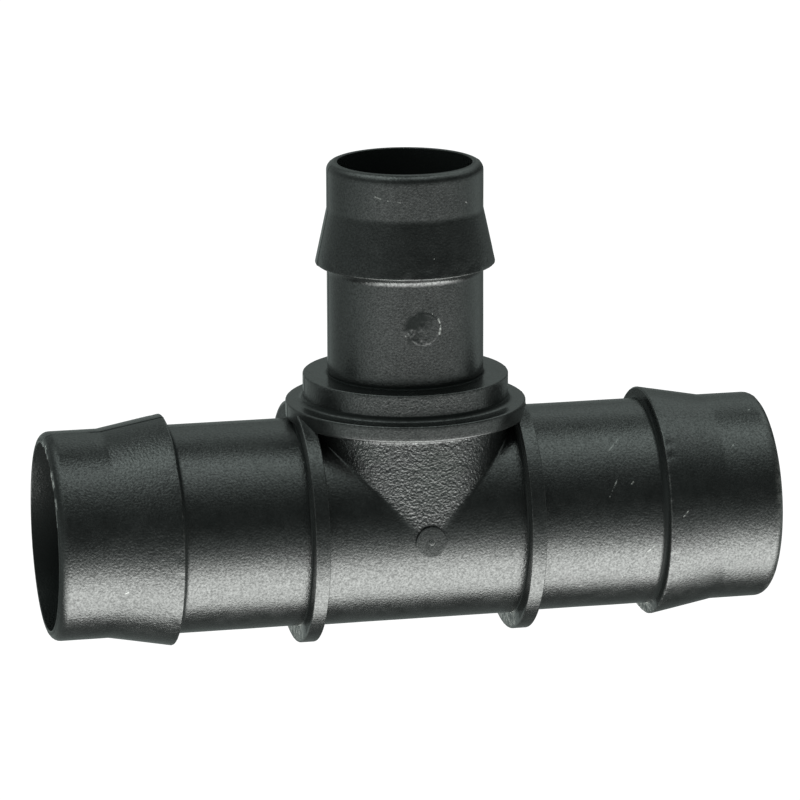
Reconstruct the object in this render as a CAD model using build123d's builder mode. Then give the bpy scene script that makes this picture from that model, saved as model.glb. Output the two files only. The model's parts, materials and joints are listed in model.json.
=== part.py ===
from build123d import *
import os

# Barbed reducing tee for irrigation pipe: a straight run along X with a barbed end each way,
# and a smaller barbed branch that stands up along Z. All lengths are in millimetres.
# The origin is where the run's axis crosses the branch's axis.
# The tee is one moulding. It is divided here where its own features meet: the crossed body,
# the stop collars, the reducer disc, and each end's spigot and barb. Neighbours touch face to
# face and never overlap.

# --- Driving dimensions: the run -------------------------------------------------------------
run_od = 25.4               # spigot, a little over the bore of the hose that slides onto it
run_bore = 22.8             # waterway through the run
run_mouth = 44.7            # from the branch's axis to either mouth
body_od = 25.6              # crossed barrel and neck
collar_od = 29.6            # stop collars that the hoses butt against
collar_start = 12.4         # inner face of a stop collar, from the branch's axis
collar_thickness = 1.8
run_barb_od = 28.2
run_barb_heel = 29.9        # square back of the barb, from the branch's axis
run_barb_end = 37.7         # where the barb's cone runs out into the plain nose
run_crest_round = 0.2
run_mouth_round = 1.2

# --- Driving dimensions: the branch ----------------------------------------------------------
branch_od = 19.0
branch_bore = 16.34
branch_mouth = 44.2         # from the run's axis to the branch's mouth
neck_bore = 22.0            # wide chamber between the run and the reducer
flange_od = 29.3            # the branch's own stop collar
flange_start = 12.8         # its underside, from the run's axis
flange_thickness = 2.0
disc_od = 25.05             # reducer disc on top of the flange
disc_thickness = 3.3
chamber_end = 15.6          # where the chamber starts to narrow, from the run's axis
bore_start = 16.8           # where it has narrowed to the branch's bore
branch_barb_od = 21.84
branch_barb_heel = 31.8
branch_barb_end = 38.55
branch_crest_round = 0.15
branch_mouth_round = 0.98

# --- Small features --------------------------------------------------------------------------
collar_root = 0.12          # fillet where a collar's or the disc's face meets its tube
run_heel_root = 0.4         # fillet behind a run barb's heel
branch_heel_root = 1.1      # fillet behind the branch barb's heel
disc_foot_root = 0.7        # fillet where the disc stands on the flange
neck_root = 0.7             # fillet where the neck meets the flange's underside
root_land = 0.05            # straight stretch left beyond a root fillet
flange_low_round = 0.3
flange_top_round = 0.2
disc_edge_round = 0.15
gate_pad_diameter = 3.8     # round pad on the barrel, where the mould was filled
gate_pad_height = 0.35
gate_pad_offset = 0.3       # it stands a little to the right of the branch's axis
gate_nib_diameter = 0.7     # stub left on the pad where the sprue broke off
gate_nib_height = 0.15

# --- Worked out from these -------------------------------------------------------------------
collar_end = collar_start + collar_thickness
barrel_end = collar_start - collar_root - root_land
run_spigot_start = collar_end + collar_root + root_land
run_spigot_end = run_barb_heel - run_heel_root - root_land
flange_end = flange_start + flange_thickness
disc_start = flange_end + disc_foot_root + root_land
disc_end = flange_end + disc_thickness
branch_spigot_start = disc_end + collar_root + root_land
branch_spigot_end = branch_barb_heel - branch_heel_root - root_land

# Each arm's plane has its local X out along the arm and its local Y across it, so that a half
# section's points are (distance from the crossing, radius).
left_arm = Plane(origin=(0, 0, 0), x_dir=(-1, 0, 0), z_dir=(0, 1, 0))
right_arm = Plane(origin=(0, 0, 0), x_dir=(1, 0, 0), z_dir=(0, -1, 0))
branch_arm = Plane(origin=(0, 0, 0), x_dir=(0, 0, 1), z_dir=(0, 1, 0))


def arm_axis(arm):
    """The line that an arm's rings are turned about."""
    return Axis(arm.origin, arm.x_dir)


def round_corner(section, corner, radius):
    """Round the half section's corner that stands at this point."""
    fillet(section.vertices().sort_by_distance((*corner, 0))[0], radius=radius)


def make_spigot(arm, od, bore, start, end):
    """A plain tube between a collar and a barb."""
    with BuildPart() as spigot:
        with BuildSketch(arm):
            with BuildLine():
                Polyline((start, bore / 2), (start, od / 2), (end, od / 2), (end, bore / 2), close=True)
            make_face()
        revolve(axis=arm_axis(arm))
    return spigot


def make_barb(arm, od, bore, crest_od, crest_round, start, heel, heel_root, cone_end, mouth, mouth_round):
    """A barb with a square heel and a cone, and the plain nose that leads the hose onto it."""
    # the cone's line reaches the crest's radius one rounding out from the heel, and is carried
    # back to the heel's plane to give the corner that the rounding replaces
    cone_drop = (crest_od - od) / 2
    corner_radius = od / 2 + cone_drop * (cone_end - heel) / (cone_end - heel - crest_round)
    with BuildPart() as barb:
        with BuildSketch(arm) as section:
            with BuildLine():
                Polyline(
                    (start, bore / 2),
                    (start, od / 2),
                    (heel, od / 2),
                    (heel, corner_radius),
                    (cone_end, od / 2),
                    (mouth, od / 2),
                    (mouth, bore / 2),
                    close=True,
                )
            make_face()
            round_corner(section, (heel, od / 2), heel_root)
            round_corner(section, (heel, corner_radius), crest_round)
            round_corner(section, (mouth, od / 2), mouth_round)
        revolve(axis=arm_axis(arm))
    return barb


def make_stop_collar(arm, taken):
    """A run collar with its roots, less the room that the branch's flange takes from its rim."""
    with BuildPart() as collar:
        with BuildSketch(arm) as section:
            with BuildLine():
                Polyline(
                    (barrel_end, run_bore / 2),
                    (barrel_end, body_od / 2),
                    (collar_start, body_od / 2),
                    (collar_start, collar_od / 2),
                    (collar_end, collar_od / 2),
                    (collar_end, run_od / 2),
                    (run_spigot_start, run_od / 2),
                    (run_spigot_start, run_bore / 2),
                    close=True,
                )
            make_face()
            round_corner(section, (collar_start, body_od / 2), collar_root)
            round_corner(section, (collar_end, run_od / 2), collar_root)
        revolve(axis=arm_axis(arm))
        add(taken.part, mode=Mode.SUBTRACT)
    return collar


def write_node(built, label):
    """Name a finished sub-part and write its file."""
    built.part.label = label
    export_step(built.part, f"parts/{label}.step")


os.makedirs("parts", exist_ok=True)

# --- Hub body: the barrel and the neck that crosses it, both hollow --------------------------
with BuildPart() as hub_body:
    with BuildSketch(Plane.YZ.offset(-barrel_end)):
        Circle(body_od / 2)
    extrude(amount=2 * barrel_end)
    with BuildSketch(Plane.XY):
        Circle(body_od / 2)
    extrude(amount=flange_start)
    with BuildSketch(branch_arm) as flare_section:
        with BuildLine():
            Polyline(
                (flange_start - neck_root - 2 * root_land, neck_bore / 2),
                (flange_start - neck_root - 2 * root_land, body_od / 2),
                (flange_start - root_land, body_od / 2),
                (flange_start - root_land, body_od / 2 + neck_root + root_land),
                (flange_start, body_od / 2 + neck_root + root_land),
                (flange_start, neck_bore / 2),
                close=True,
            )
        make_face()
        round_corner(flare_section, (flange_start - root_land, body_od / 2), neck_root)
    revolve(axis=arm_axis(branch_arm))
    with BuildSketch(Plane.XY):
        Rectangle(2 * barrel_end, 2 * body_od)
    extrude(amount=2 * body_od, both=True, mode=Mode.INTERSECT)
    with BuildSketch(Plane.YZ.offset(-barrel_end)):
        Circle(run_bore / 2)
    extrude(amount=2 * barrel_end, mode=Mode.SUBTRACT)
    with BuildSketch(Plane.XY):
        Circle(neck_bore / 2)
    extrude(amount=flange_start, mode=Mode.SUBTRACT)
write_node(hub_body, "hub_body")

# --- Gate pad: a round pad with a broken stub, on the front of the barrel --------------------
with BuildPart() as gate_pad:
    with BuildSketch(Plane.XZ.offset(run_bore / 2)):
        with Locations((gate_pad_offset, 0)):
            Circle(gate_pad_diameter / 2)
    extrude(amount=(body_od - run_bore) / 2 + gate_pad_height)
    with BuildSketch(Plane.XZ.offset(body_od / 2 + gate_pad_height)):
        with Locations((gate_pad_offset, 0)):
            Circle(gate_nib_diameter / 2)
    extrude(amount=gate_nib_height)
    add(hub_body.part, mode=Mode.SUBTRACT)
write_node(gate_pad, "gate_pad")

# --- Branch stop collar: the flange on the neck, with the foot that the disc stands on -------
with BuildPart() as branch_stop_collar:
    with BuildSketch(branch_arm) as flange_section:
        with BuildLine():
            Polyline(
                (flange_start, neck_bore / 2),
                (flange_start, flange_od / 2),
                (flange_end, flange_od / 2),
                (flange_end, disc_od / 2),
                (disc_start, disc_od / 2),
                (disc_start, neck_bore / 2),
                close=True,
            )
        make_face()
        round_corner(flange_section, (flange_start, flange_od / 2), flange_low_round)
        round_corner(flange_section, (flange_end, flange_od / 2), flange_top_round)
        round_corner(flange_section, (flange_end, disc_od / 2), disc_foot_root)
    revolve(axis=arm_axis(branch_arm))
write_node(branch_stop_collar, "branch_stop_collar")

# --- Branch reducer disc: closes the wide neck down to the branch's bore ---------------------
with BuildPart() as branch_reducer_disc:
    with BuildSketch(branch_arm) as disc_section:
        with BuildLine():
            Polyline(
                (disc_start, neck_bore / 2),
                (disc_start, disc_od / 2),
                (disc_end, disc_od / 2),
                (disc_end, branch_od / 2),
                (branch_spigot_start, branch_od / 2),
                (branch_spigot_start, branch_bore / 2),
                (bore_start, branch_bore / 2),
                (chamber_end, neck_bore / 2),
                close=True,
            )
        make_face()
        round_corner(disc_section, (disc_end, disc_od / 2), disc_edge_round)
        round_corner(disc_section, (disc_end, branch_od / 2), collar_root)
    revolve(axis=arm_axis(branch_arm))
write_node(branch_reducer_disc, "branch_reducer_disc")

# --- Branch spigot and barb ------------------------------------------------------------------
branch_spigot = make_spigot(branch_arm, branch_od, branch_bore, branch_spigot_start, branch_spigot_end)
write_node(branch_spigot, "branch_spigot")
branch_barb = make_barb(
    branch_arm,
    od=branch_od,
    bore=branch_bore,
    crest_od=branch_barb_od,
    crest_round=branch_crest_round,
    start=branch_spigot_end,
    heel=branch_barb_heel,
    heel_root=branch_heel_root,
    cone_end=branch_barb_end,
    mouth=branch_mouth,
    mouth_round=branch_mouth_round,
)
write_node(branch_barb, "branch_barb")

# --- Room that the flange takes from the run's collars: its outline, carried on above them ---
with BuildPart() as flange_room:
    with BuildSketch(branch_arm) as room_section:
        with BuildLine():
            Polyline(
                (flange_start, 0),
                (flange_start, flange_od / 2),
                (collar_od, flange_od / 2),
                (collar_od, 0),
                close=True,
            )
        make_face()
        round_corner(room_section, (flange_start, flange_od / 2), flange_low_round)
    revolve(axis=arm_axis(branch_arm))

# --- Run: a stop collar, spigot and barb each way --------------------------------------------
for side, arm in (("left", left_arm), ("right", right_arm)):
    stop_collar = make_stop_collar(arm, flange_room)
    write_node(stop_collar, f"{side}_stop_collar")
    spigot = make_spigot(arm, run_od, run_bore, run_spigot_start, run_spigot_end)
    write_node(spigot, f"{side}_spigot")
    barb = make_barb(
        arm,
        od=run_od,
        bore=run_bore,
        crest_od=run_barb_od,
        crest_round=run_crest_round,
        start=run_spigot_end,
        heel=run_barb_heel,
        heel_root=run_heel_root,
        cone_end=run_barb_end,
        mouth=run_mouth,
        mouth_round=run_mouth_round,
    )
    write_node(barb, f"{side}_barb")
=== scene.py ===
import json
import math
from collections import namedtuple
from contextlib import contextmanager

import bmesh
import bpy
import numpy as np
from mathutils import Matrix, Vector


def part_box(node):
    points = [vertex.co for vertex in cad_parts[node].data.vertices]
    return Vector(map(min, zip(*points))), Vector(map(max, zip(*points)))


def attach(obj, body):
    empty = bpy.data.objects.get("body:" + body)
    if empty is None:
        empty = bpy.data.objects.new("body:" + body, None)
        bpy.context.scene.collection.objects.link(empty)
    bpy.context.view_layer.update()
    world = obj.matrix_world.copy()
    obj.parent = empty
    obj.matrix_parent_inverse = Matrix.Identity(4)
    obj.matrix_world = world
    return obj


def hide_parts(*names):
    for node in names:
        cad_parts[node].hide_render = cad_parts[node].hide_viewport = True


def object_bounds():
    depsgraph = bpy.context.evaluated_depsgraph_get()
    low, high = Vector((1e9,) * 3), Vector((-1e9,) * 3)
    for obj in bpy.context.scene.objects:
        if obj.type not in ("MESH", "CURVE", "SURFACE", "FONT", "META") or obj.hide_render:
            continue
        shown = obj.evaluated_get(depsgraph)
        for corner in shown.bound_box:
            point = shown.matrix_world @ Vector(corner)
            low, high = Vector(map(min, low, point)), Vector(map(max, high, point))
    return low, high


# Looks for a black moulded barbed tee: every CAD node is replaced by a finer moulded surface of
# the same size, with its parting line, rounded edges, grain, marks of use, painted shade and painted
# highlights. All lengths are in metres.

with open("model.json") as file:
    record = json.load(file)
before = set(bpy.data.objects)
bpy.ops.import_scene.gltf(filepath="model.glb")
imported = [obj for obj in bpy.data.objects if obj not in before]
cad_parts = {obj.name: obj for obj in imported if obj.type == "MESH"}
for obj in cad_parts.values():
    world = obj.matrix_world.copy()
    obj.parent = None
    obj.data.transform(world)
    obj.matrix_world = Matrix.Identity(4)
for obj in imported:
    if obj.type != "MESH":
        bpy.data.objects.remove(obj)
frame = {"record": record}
cad_low, cad_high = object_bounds()

MM = 0.001
SEED = 538

# --- Small features, as in the CAD ---
ROOT_LAND = 0.05 * MM           # a node ends this far past its root fillet
COLLAR_ROOT = 0.12 * MM
RUN_HEEL_ROOT = 0.4 * MM
BRANCH_HEEL_ROOT = 1.1 * MM
DISC_FOOT_ROOT = 0.7 * MM
NECK_ROOT = 0.7 * MM
COLLAR_ROUND = 0.13 * MM
FLANGE_LOW_ROUND = 0.3 * MM
FLANGE_TOP_ROUND = 0.2 * MM
DISC_ROUND = 0.15 * MM
RUN_CREST_ROUND = 0.2 * MM
RUN_MOUTH_ROUND = 1.2 * MM
RUN_NOSE = 7.0 * MM             # plain nose in front of the barb's cone
BRANCH_CREST_ROUND = 0.15 * MM
BRANCH_MOUTH_ROUND = 0.98 * MM
BRANCH_NOSE = 5.65 * MM
NECK_WALL = 1.8 * MM
ROOF = 1.0 * MM                 # the disc's thickness over the chamber in the neck
BORE_EDGE = 0.12 * MM           # rounding of the mouths' inner edges
CREASE = 0.12 * MM              # softening where the neck meets the barrel
CREASE_FADE = 3.0 * MM          # it dies out towards the front, where they are tangent
CREASE_LEAST = 0.02
PAD_ROOT = 0.7 * MM             # the gate pad is rooted this far out from the bore, in the wall
PAD_ROUND = 0.08 * MM
NIB_RADIUS = 0.35 * MM          # the nib on the pad, where the gate broke off
NIB_HEIGHT = 0.15 * MM
NIB_ROUND = 0.1 * MM

# --- Traces of moulding and use, and painted light and shade ---
# Above 0 the mark makes the plastic pale: rubbing on its edges, and painted highlights elsewhere; below 0
# it makes it duller: soiling on the left barb's parting line, and painted shade elsewhere.
EDGE = 0.1 * MM                 # softness of a mark's edge, and slack in picking out a face
RIDGE_HEIGHT = 0.05 * MM        # parting line
RIDGE_WIDTH = 0.09 * MM
WAVE_HEIGHT = 0.012 * MM        # slow unevenness of the skin
LEATHER_HEIGHT = 0.018 * MM     # coarser etched grain on the neck
LEATHER_REACH = 11.2 * MM       # how far it goes sideways from the branch's axis
LEATHER_FADE = 1.0 * MM
NECK_LEAD = 0.08 * MM           # it starts this far short of the crease with the barrel
NECK_BLEND = 0.2 * MM
LEFT_BARB_GRIT = 0.3            # share of that coarser grain on other faces
RIGHT_BARB_GRIT = 0.12
CONE_GRIT = 0.3
DISC_GRIT = 0.35
PAD_GRIT = 0.15
CHIP_DEPTH = 0.08 * MM          # dents in a barb's crest
CHIP_BAND = 0.3 * MM
CHIP_FADE = 0.2 * MM
CHIP_LEAST = 0.1
FLASH_HEIGHT = 0.3 * MM         # ragged flash on the left mouth's inner edge
FLASH_BAND = 0.35 * MM
FLASH_ROOT = 0.2 * MM
FLASH_START = 0.1               # radians up from the front
FLASH_START_FADE = 0.3
FLASH_END = 1.75
FLASH_END_FADE = 0.2
FLASH_SHARE = 0.45
FLASH_CONTRAST = 1.4
# The flash's paleness is a painted highlight along its ragged edge.
FLASH_HIGHLIGHT = 5.0
# Painted shade where heels, collars and spigots meet their neighbours.
PAINTED_SHADE = -1.0
SHADE_REACH = 0.2 * MM          # how far painted shade spreads from the foot of a heel, collar or spigot
# Painted shade on all faces that are not skin, chiefly inside the bores.
BORE_SHADE = -0.85
# Painted shade on the left mouth's rounded lip.
MOUTH_SHADE = -0.6
SEAM_GRIME = -1.3               # on the parting line of the left barb's cone
SEAM_WIDTH = 0.3 * MM
SEAM_OVERRUN = 1.5 * MM
CREST_CLEAR = 0.15 * MM         # a face's painted shade and highlight end this far short of its crest
UNDER_ANGLE = math.radians(55)  # below this a collar's or heel's face gets a painted highlight instead of painted shade
UNDER_FADE = 0.25
# Painted highlight on the lower part of those faces.
UNDER_HIGHLIGHT = 2.5
RIM_HIGHLIGHT_BAND = 0.8 * MM           # painted highlight on top of the left mouth's rim, broken up by noise
RIM_HIGHLIGHT_ANGLE = 1.5
RIM_HIGHLIGHT_SPREAD = 0.3
RIM_HIGHLIGHT_LEAST = 0.35
RIM_HIGHLIGHT = 4.0
MOUTH_RUB = 0.35                # on the right mouth's rounded rim
WITNESS_RADIUS = 2.0 * MM       # round insert mark on the branch's spigot
WITNESS_RISE = 7.4 * MM         # its middle's height above the disc
WITNESS_ANGLE = 0.02            # radians round from the front
WITNESS_HEIGHT = 0.022 * MM
WITNESS_ROUGHNESS = 1.2         # of the skin beside it, against its height
WITNESS_SMOOTHING = 0.3         # share of that roughness on the mark itself
ROUGH_REACH = 0.8 * MM
ROUGH_FADE = 1.0 * MM
LEFT_SHADE_REACH = 0.7 * MM          # painted shade over the mark's left side, reaching this far past it to its upper left
LEFT_SHADE = -1.2
LEFT_SHADE_SIDE = 0.4
LEFT_SHADE_SLOPE = 0.6
LEFT_SHADE_SHARE = 0.5
LEFT_SHADE_CONTRAST = 1.5
WITNESS_HIGHLIGHT = 3.5               # painted highlight on the mark's right edge
HIGHLIGHT_ANGLE = 0.1
HIGHLIGHT_SPREAD = 0.5

# Random unevenness: its wavelength, its layers, and a shift so that no two are alike
WAVE_NOISE = (5.0 * MM, 2, 0.0)
LEATHER_NOISE = (0.33 * MM, 2, 3.1)
CHIP_NOISE = (1.3 * MM, 2, 5.7)
FLASH_NOISE = (1.1 * MM, 3, 9.1)
RIM_HIGHLIGHT_NOISE = (0.8 * MM, 2, 4.4)
ROUGH_NOISE = (0.6 * MM, 2, 2.2)
LEFT_SHADE_NOISE = (0.9 * MM, 2, 6.2)
LATTICE_SIZE = 48
LAYER_SHIFT = 7.3

# --- Mesh fineness ---
COLUMNS = 360                   # round an arm
RIDGE_COLUMNS = (-1.6, -0.8, 0.0, 0.8, 1.6)     # more of them across a parting line, in its widths
FINE_COLUMNS = 161              # across the front of the branch's spigot
FINE_REACH = 0.3                # radians to either side
PAD_COLUMNS = 96
RUN_SKIN_GAP = 0.5 * MM         # points further than this out from a bore are skin
BRANCH_SKIN_GAP = 0.4 * MM
NECK_SKIN_GAP = 0.8 * MM
SKINLESS = 1.0                  # a skin radius beyond a whole piece, so that it gets no waves
ROW_PITCH = 0.3 * MM
FINE_PITCH = 0.1 * MM
INSIDE_PITCH = 12 * ROW_PITCH
ARC_STEPS = 6
AXIS_GAP = 0.0001 * MM          # a section that reaches its axis stops this far from it
NET_STEP = 0.17 * MM            # the hub's grid
NEAR_SKIN = 0.45 * MM           # the hub's traces of moulding are worked out this close to it
HUB_OVERRUN = 0.25 * MM         # the hub goes this far past its ends before it is cut flat
SLOPE_STEP = 0.02 * MM
LEAST_SLOPE = 0.25              # squared
LARGEST_MOVE = 0.4 * NET_STEP
MOST_FLARE = 0.98               # of the neck's root, short of where its slope is level
CUT_SLACK = 0.001 * MM
WELD = 0.0005 * MM              # points this close become one
SLIVER = 0.0002 * MM
SHARP_ANGLE = math.radians(42)


# --- Measures read from the frame ---
def reach(node, axis, side):
    """How far a CAD node goes along an axis, at its low (0) or high (1) side."""
    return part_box(node)[side][axis]


def mount_radius(name):
    """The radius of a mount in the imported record."""
    for mount in frame["record"]["mounts"]:
        if mount["name"] == name:
            return mount["dims"]["r_mm"] * MM
    raise KeyError(name)


run_radius = mount_radius("right_hose_end")
run_bore = mount_radius("run_waterway")
run_skin = run_bore + RUN_SKIN_GAP
branch_radius = mount_radius("branch_hose_end")
branch_bore = mount_radius("branch_waterway")
branch_skin = branch_bore + BRANCH_SKIN_GAP
body_radius = -reach("hub_body", 2, 0)
neck_bore = body_radius - NECK_WALL
neck_skin = neck_bore + NECK_SKIN_GAP
barrel_end = reach("hub_body", 0, 1)
collar_radius = reach("right_stop_collar", 1, 1)
collar_start = barrel_end + COLLAR_ROOT + ROOT_LAND
collar_end = reach("right_stop_collar", 0, 1) - COLLAR_ROOT - ROOT_LAND
spigot_start = reach("right_spigot", 0, 0)
spigot_end = reach("right_spigot", 0, 1)
run_crest = reach("right_barb", 1, 1)
run_heel = spigot_end + RUN_HEEL_ROOT + ROOT_LAND
run_mouth = reach("right_barb", 0, 1)
run_cone_end = run_mouth - RUN_NOSE
flange_low = reach("branch_stop_collar", 2, 0)
disc_start = reach("branch_stop_collar", 2, 1)
flange_high = disc_start - DISC_FOOT_ROOT - ROOT_LAND
flange_radius = reach("branch_stop_collar", 0, 1)
disc_radius = reach("branch_reducer_disc", 0, 1)
disc_end = reach("branch_reducer_disc", 2, 1)
disc_top = disc_end - COLLAR_ROOT - ROOT_LAND
branch_spigot_end = reach("branch_spigot", 2, 1)
branch_crest = reach("branch_barb", 0, 1)
branch_heel = branch_spigot_end + BRANCH_HEEL_ROOT + ROOT_LAND
branch_mouth = reach("branch_barb", 2, 1)
branch_cone_end = branch_mouth - BRANCH_NOSE
pad_face = -reach("gate_pad", 1, 0)
pad_top = pad_face - NIB_HEIGHT
pad_radius = (reach("gate_pad", 0, 1) - reach("gate_pad", 0, 0)) / 2
pad_x = (reach("gate_pad", 0, 1) + reach("gate_pad", 0, 0)) / 2


# --- Noise for shapes ---
lattice = np.random.default_rng(SEED).uniform(-1.0, 1.0, (LATTICE_SIZE,) * 3)


def soft_noise(points, wavelength, shift):
    """Smooth random height from -1 to 1 at each point, with bumps about a wavelength apart."""
    scaled = points / wavelength + shift
    cell = np.floor(scaled).astype(int)
    part = scaled - cell
    ease = part * part * (3.0 - 2.0 * part)
    total = np.zeros(len(points))
    for step in np.ndindex(2, 2, 2):
        index = (cell + step) % LATTICE_SIZE
        weight = np.prod(np.where(np.array(step) == 1, ease, 1.0 - ease), axis=1)
        total += weight * lattice[index[:, 0], index[:, 1], index[:, 2]]
    return total


def layered_noise(points, wavelength, layers, shift):
    """Soft noise with finer layers added, each of half the last one's height."""
    total = np.zeros(len(points))
    for layer in range(layers):
        total += soft_noise(points, wavelength / 2**layer, shift + LAYER_SHIFT * layer) / 2**layer
    return total


def rise(value, start, length):
    """From 0 at start to 1 a length further on. A negative length runs the other way."""
    return np.clip((value - start) / length, 0.0, 1.0)


# --- Mesh helpers ---
def keep_in_box(points):
    """Points held inside the CAD model's box."""
    return np.clip(points, np.array(cad_low), np.array(cad_high))


def new_object(name, data):
    """An object in the scene."""
    result = bpy.data.objects.new(name, data)
    bpy.context.scene.collection.objects.link(result)
    return result


@contextmanager
def editing(mesh):
    """A mesh's faces to work on, written back to it at the end."""
    work = bmesh.new()
    work.from_mesh(mesh)
    yield work
    work.to_mesh(mesh)
    work.free()


def skin_name(node):
    """The name of the piece that stands for a CAD node."""
    return f"{node}_skin"


def finish_piece(node, mesh, slot):
    """Turn a closed mesh into the piece that stands for a CAD node, with its slot's material."""
    with editing(mesh) as work:
        bmesh.ops.remove_doubles(work, verts=work.verts, dist=WELD)
        bmesh.ops.dissolve_degenerate(work, edges=work.edges, dist=SLIVER)
        bmesh.ops.recalc_face_normals(work, faces=work.faces)
    mesh.shade_smooth()
    mesh.set_sharp_from_angle(angle=SHARP_ANGLE)
    mesh.materials.append(plastics[slot])
    piece = new_object(skin_name(node), mesh)
    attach(piece, "root")
    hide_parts(node)


def mesh_of(name, points, faces, **marks):
    """A mesh that keeps each point's marks of use and painted light, and its share of coarser grain, as
    attributes.
    """
    mesh = bpy.data.meshes.new(name)
    mesh.from_pydata(points.tolist(), [], faces)
    for mark, values in marks.items():
        layer = mesh.attributes.new(mark, "FLOAT", "POINT")
        layer.data.foreach_set("value", np.asarray(values, float))
    return mesh


# --- Sections: closed outlines of (along, radius), turned about an arm ---
def corner(along, radius, rounding=0.0, worn_and_painted_light=0.0):
    """One corner of a section, with its rounding and its mark of use: paleness on most edges, painted
    shade on the left mouth's lip.
    """
    return {"at": np.array((along, radius)), "round": rounding, "worn_and_painted_light": worn_and_painted_light}


def arc_points(before, here, after, rounding):
    """Points along a corner's rounding."""
    back = before - here
    ahead = after - here
    back /= np.linalg.norm(back)
    ahead /= np.linalg.norm(ahead)
    half = math.acos(float(np.clip(back @ ahead, -1, 1))) / 2
    middle = (back + ahead) / np.linalg.norm(back + ahead)
    centre = here + middle * rounding / math.sin(half)
    first = here + back * rounding / math.tan(half) - centre
    last = here + ahead * rounding / math.tan(half) - centre
    sweep = math.pi - 2 * half
    steps = np.linspace(0.0, 1.0, ARC_STEPS + 1)
    share_first = np.sin((1 - steps) * sweep) / math.sin(sweep)
    share_last = np.sin(steps * sweep) / math.sin(sweep)
    return centre + np.outer(share_first, first) + np.outer(share_last, last)


def rounded_corner(corners, place):
    """The points of one corner of a section, and its mark of use and painted light at each."""
    this = corners[place]
    if this["round"] == 0:
        return this["at"][None, :], np.array([this["worn_and_painted_light"]])
    before = corners[place - 1]["at"]
    after = corners[(place + 1) % len(corners)]["at"]
    points = arc_points(before, this["at"], after, this["round"])
    return points, this["worn_and_painted_light"] * np.sin(np.linspace(0, math.pi, len(points)))


def outline(corners, skin_radius, pitch):
    """A section's points, their marks of use and painted light, and 1 where it is skin, with its long runs
    divided.
    """
    runs = [rounded_corner(corners, place) for place in range(len(corners))]
    points, worn_and_painted_light = [], []
    for place, (these, wear) in enumerate(runs):
        points.extend(these)
        worn_and_painted_light.extend(wear)
        start = these[-1]
        end = runs[(place + 1) % len(runs)][0][0]
        length = float(np.linalg.norm(end - start))
        is_skin = min(start[1], end[1]) > skin_radius
        parts = int(length / (pitch if is_skin else INSIDE_PITCH))
        for step in range(1, parts):
            points.append(start + (end - start) * step / parts)
            worn_and_painted_light.append(0.0)
    points = np.array(points)
    skin = (points[:, 1] > skin_radius).astype(float)
    return points, np.array(worn_and_painted_light), skin


def turning_angles():
    """Even angles round an arm, with extra ones across each parting line."""
    even = np.linspace(-math.pi, math.pi, COLUMNS, endpoint=False)
    close = np.array(RIDGE_COLUMNS) * RIDGE_WIDTH / run_radius
    parting = np.concatenate([side * math.pi / 2 + close for side in (-1, 1)])
    clear = np.abs(even[:, None] - parting[None, :]).min(axis=1) > 0.5 * RIDGE_WIDTH / run_radius
    return np.sort(np.concatenate([even[clear], parting]))


ANGLES = turning_angles()
FINE_ANGLES = np.concatenate([
    ANGLES[ANGLES < -FINE_REACH],
    np.linspace(-FINE_REACH, FINE_REACH, FINE_COLUMNS),
    ANGLES[ANGLES > FINE_REACH],
])
PAD_ANGLES = np.linspace(0, 2 * math.pi, PAD_COLUMNS, endpoint=False)


# Angles go from the front, upwards on the run and to the right on the branch, and round the pad's
# own middle.
def place_left(along, radius, angle):
    return np.stack([-along, -radius * np.cos(angle), radius * np.sin(angle)], axis=-1)


def place_right(along, radius, angle):
    return np.stack([along, -radius * np.cos(angle), radius * np.sin(angle)], axis=-1)


def place_branch(along, radius, angle):
    return np.stack([radius * np.sin(angle), -radius * np.cos(angle), along], axis=-1)


def place_pad(along, radius, angle):
    return np.stack([pad_x + radius * np.cos(angle), -along, radius * np.sin(angle)], axis=-1)


def skin_height(points):
    """How far the moulded skin stands off its nominal surface: parting line and slow waves."""
    ridge = RIDGE_HEIGHT * np.exp(-((points[:, 1] / RIDGE_WIDTH) ** 2))
    waves = WAVE_HEIGHT * layered_noise(points, *WAVE_NOISE)
    return ridge + waves


# The points of a turned piece: distance along its arm, radius, angle, and nominal place
Spots = namedtuple("Spots", "along radius angle place")


def no_mark(spots):
    """Nothing, at any of the points."""
    return np.zeros(len(spots.along))


def turn(name, corners, place, skin_radius, height=no_mark, wear=no_mark, grit=no_mark,
         angles=ANGLES, pitch=ROW_PITCH, inside_wear=BORE_SHADE):
    """Turn a section about an arm into a closed ring, with the traces of moulding on its skin.

    height, the mark and grit are functions of Spots: more height; paler plastic above 0 and darker below
    it, from use and painted light; and coarser grain.
    """
    section, worn_and_painted_light, skin = outline(corners, skin_radius, pitch)
    along = np.repeat(section[:, 0], len(angles))
    radius = np.repeat(section[:, 1], len(angles))
    angle = np.tile(angles, len(section))
    spots = Spots(along, radius, angle, place(along, radius, angle))
    off = skin_height(spots.place) * np.repeat(skin, len(angles)) + height(spots)
    # Faces that are not skin get painted shade as well.
    worn_and_painted_light = np.repeat(np.where(skin > 0, worn_and_painted_light, worn_and_painted_light + inside_wear), len(angles)) + wear(spots)
    points = keep_in_box(place(along, radius + off, angle))
    grid = np.arange(len(points)).reshape(len(section), len(angles))
    ahead = np.roll(grid, -1, axis=0)
    faces = np.stack([grid, np.roll(grid, -1, 1), np.roll(ahead, -1, 1), ahead], axis=-1)
    return mesh_of(name, points, faces.reshape(-1, 4).tolist(), wear=worn_and_painted_light, leathery=grit(spots))


# --- Marks left by use and by the mould, and painted light and shade, as functions of Spots ---
def chips(crest):
    """Small dents along a barb's crest."""
    def height(spots):
        on_crest = rise(spots.radius, crest - CHIP_BAND, CHIP_FADE)
        dents = np.maximum(layered_noise(spots.place, *CHIP_NOISE) - CHIP_LEAST, 0.0)
        return -CHIP_DEPTH * on_crest * dents
    return height


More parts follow.
